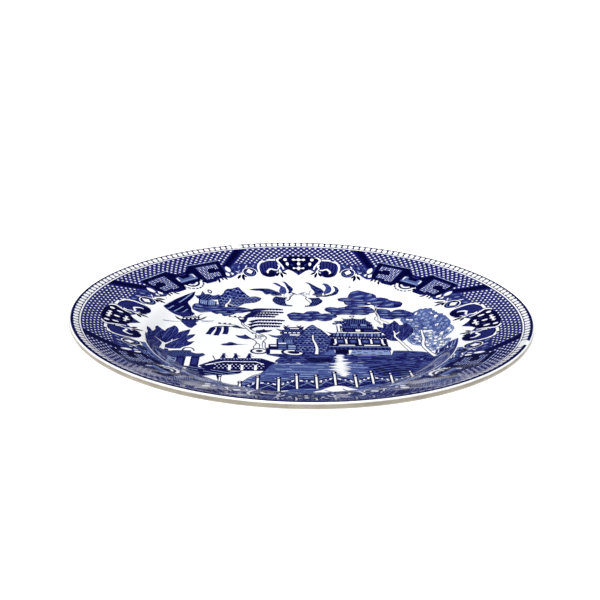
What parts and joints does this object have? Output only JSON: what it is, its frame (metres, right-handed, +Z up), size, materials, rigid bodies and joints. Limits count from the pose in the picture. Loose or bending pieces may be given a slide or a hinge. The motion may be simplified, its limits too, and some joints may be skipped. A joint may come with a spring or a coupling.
{
  "type": "dinner plate",
  "caption": "Round white glazed china dinner plate with a sloped rim, a flat well, a foot ring and a blue printed landscape and border.",
  "frame": {"origin": "centre of the circle that the foot ring rests on", "axes": "+Z up, out of the eating face; +Y towards the top of the decoration, where the two birds are"},
  "size_m": [0.254, 0.254, 0.0265],
  "materials": {
    "biscuit": "fired, unglazed, matte",
    "blue_print": "cobalt blue print under a clear gloss glaze",
    "glaze": "clear gloss glaze over white"
  },
  "bodies": {
    "root": {"plate_body": "biscuit", "centre_print": "blue_print", "border_print": "blue_print", "edge_band_print": "blue_print", "front_glaze": "glaze", "back_glaze": "glaze", "foot_recess_glaze": "glaze"}
  },
  "joints": []
}
